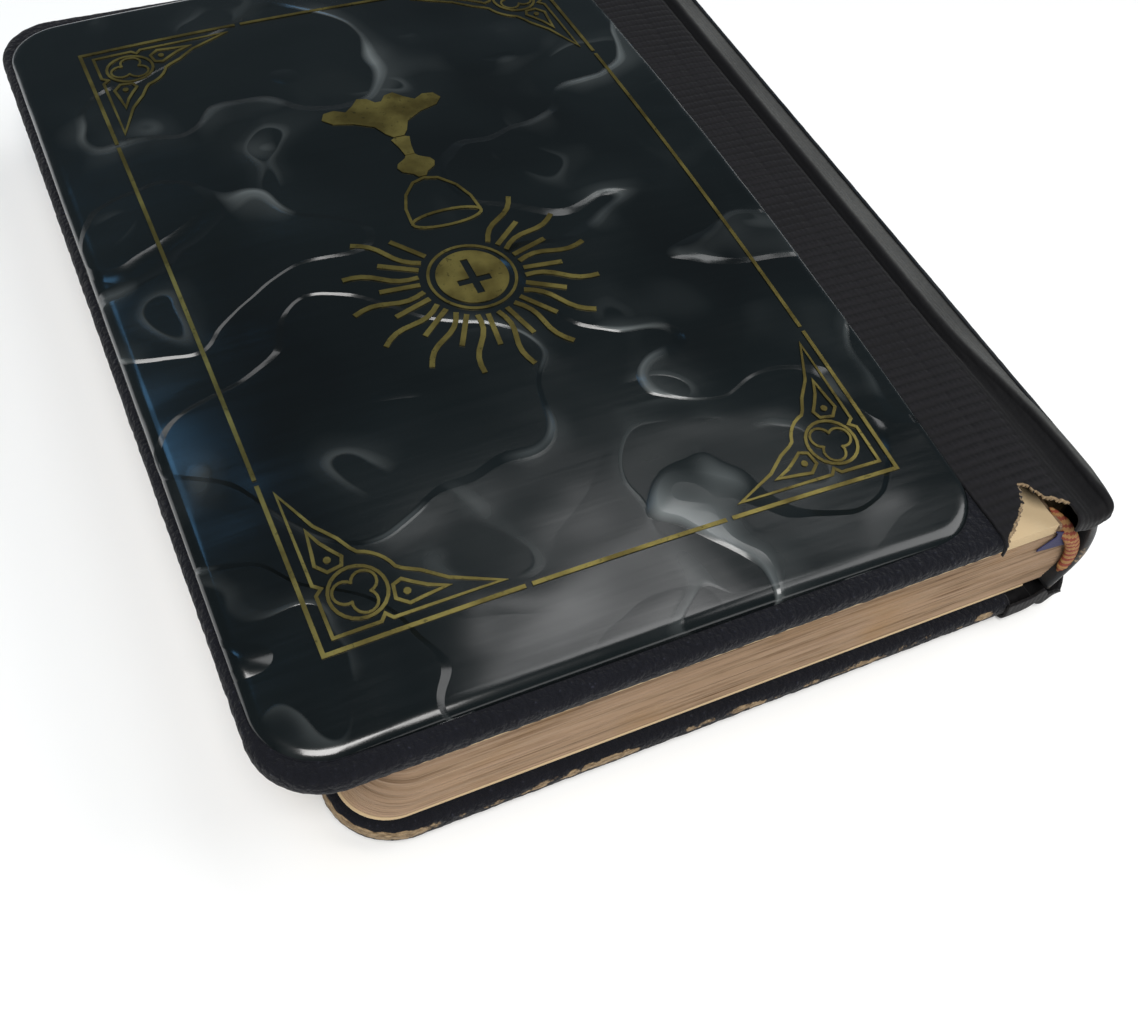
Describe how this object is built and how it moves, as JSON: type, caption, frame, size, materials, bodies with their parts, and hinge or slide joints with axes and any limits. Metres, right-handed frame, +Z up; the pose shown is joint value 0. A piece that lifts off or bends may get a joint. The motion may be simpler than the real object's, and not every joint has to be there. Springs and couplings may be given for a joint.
{
  "type": "prayer book",
  "caption": "Small old prayer book in a black cloth case with crowned pearl-effect plates, gilt frame, corner ornaments, host and chalice; covers and leaves open.",
  "frame": {"origin": "middle of the footprint, on the flat face of the back plate the book rests on", "axes": "+Z up through the front cover, +Y towards the head, -X towards the spine"},
  "size_m": [0.098, 0.1212, 0.0232],
  "materials": {
    "celluloid_front": "black mother-of-pearl celluloid, polished",
    "celluloid_back": "black celluloid, polished",
    "gilt": "gilt tooling, dulled",
    "cover_cloth": "black napped book cloth",
    "joint_cloth": "black ribbed book cloth",
    "spine_cloth": "black smooth book cloth",
    "boards": "grey-tan millboard",
    "wadding": "cotton wadding",
    "pages": "aged cream paper",
    "endpaper": "aged cream endpaper",
    "lining": "brown kraft paper",
    "mull": "starched open cotton",
    "headbands": "striped red and cream silk",
    "ribbon": "blue-violet silk"
  },
  "bodies": {
    "text_block": {"rear_section_1": "pages", "rear_section_2": "pages", "rear_section_3": "pages", "mull_rear": "mull", "hollow_lining": "lining", "spine_inlay": "lining", "spine_cloth": "spine_cloth", "headband": "headbands", "tailband": "headbands", "ribbon_stub": "ribbon"},
    "front_leaves": {"front_section_1": "pages", "front_section_2": "pages", "front_section_3": "pages", "mull_front": "mull"},
    "front_cover": {"front_board": "boards", "front_cover_cloth": "cover_cloth", "front_joint_cloth": "joint_cloth", "front_pastedown": "endpaper", "front_padding": "wadding", "front_plate": "celluloid_front", "gilt_frame": "gilt", "gilt_corner_ornaments": "gilt", "gilt_sunburst": "gilt", "gilt_medallion": "gilt", "gilt_chalice": "gilt"},
    "back_cover": {"back_board": "boards", "back_cover_cloth": "cover_cloth", "back_joint_cloth": "joint_cloth", "back_pastedown": "endpaper", "back_plate": "celluloid_back"},
    "front_flyleaf_body": {"front_flyleaf": "endpaper"},
    "back_flyleaf_body": {"back_flyleaf": "endpaper"},
    "leaf_1_body": {"leaf_1": "pages"},
    "leaf_2_body": {"leaf_2": "pages"},
    "leaf_3_body": {"leaf_3": "pages"},
    "leaf_4_body": {"leaf_4": "pages"},
    "leaf_5_body": {"leaf_5": "pages"}
  },
  "joints": [
    {"name": "front_cover_hinge", "type": "hinge", "parent": "text_block", "child": "front_cover", "pos_m": [-0.0459, 0, 0.01843], "axis": [0, -1, 0], "range_deg": [0, 180]},
    {"name": "back_cover_hinge", "type": "hinge", "parent": "text_block", "child": "back_cover", "pos_m": [-0.0459, 0, 0.00143], "axis": [0, 1, 0], "range_deg": [0, 180]},
    {"name": "front_leaves_hinge", "type": "hinge", "parent": "text_block", "child": "front_leaves", "pos_m": [-0.0446, 0, 0.00993], "axis": [0, -1, 0], "range_deg": [0, 12.87]},
    {"name": "front_flyleaf_hinge", "type": "hinge", "parent": "front_leaves", "child": "front_flyleaf_body", "pos_m": [-0.0411, 0, 0.01578], "axis": [0, -1, 0], "range_deg": [0, 118.81]},
    {"name": "back_flyleaf_hinge", "type": "hinge", "parent": "text_block", "child": "back_flyleaf_body", "pos_m": [-0.0411, 0, 0.00408], "axis": [0, 1, 0], "range_deg": [0, 133.21]},
    {"name": "leaf_1_hinge", "type": "hinge", "parent": "front_leaves", "child": "leaf_1_body", "pos_m": [-0.0411, 0, 0.01578], "axis": [0, -1, 0], "range_deg": [0, 102.61]},
    {"name": "leaf_2_hinge", "type": "hinge", "parent": "front_leaves", "child": "leaf_2_body", "pos_m": [-0.0411, 0, 0.01578], "axis": [0, -1, 0], "range_deg": [0, 86.41]},
    {"name": "leaf_3_hinge", "type": "hinge", "parent": "front_leaves", "child": "leaf_3_body", "pos_m": [-0.0411, 0, 0.01578], "axis": [0, -1, 0], "range_deg": [0, 70.21]},
    {"name": "leaf_4_hinge", "type": "hinge", "parent": "front_leaves", "child": "leaf_4_body", "pos_m": [-0.0411, 0, 0.01578], "axis": [0, -1, 0], "range_deg": [0, 54.01]},
    {"name": "leaf_5_hinge", "type": "hinge", "parent": "front_leaves", "child": "leaf_5_body", "pos_m": [-0.0411, 0, 0.01578], "axis": [0, -1, 0], "range_deg": [0, 37.81]}
  ],
  "couplings": [
    {"joint": "front_leaves_hinge", "follows": "front_cover_hinge", "ratio": 0.0714},
    {"joint": "front_flyleaf_hinge", "follows": "front_cover_hinge", "ratio": 0.66},
    {"joint": "back_flyleaf_hinge", "follows": "back_cover_hinge", "ratio": 0.74},
    {"joint": "leaf_1_hinge", "follows": "front_cover_hinge", "ratio": 0.57},
    {"joint": "leaf_2_hinge", "follows": "front_cover_hinge", "ratio": 0.48},
    {"joint": "leaf_3_hinge", "follows": "front_cover_hinge", "ratio": 0.39},
    {"joint": "leaf_4_hinge", "follows": "front_cover_hinge", "ratio": 0.3},
    {"joint": "leaf_5_hinge", "follows": "front_cover_hinge", "ratio": 0.21}
  ]
}
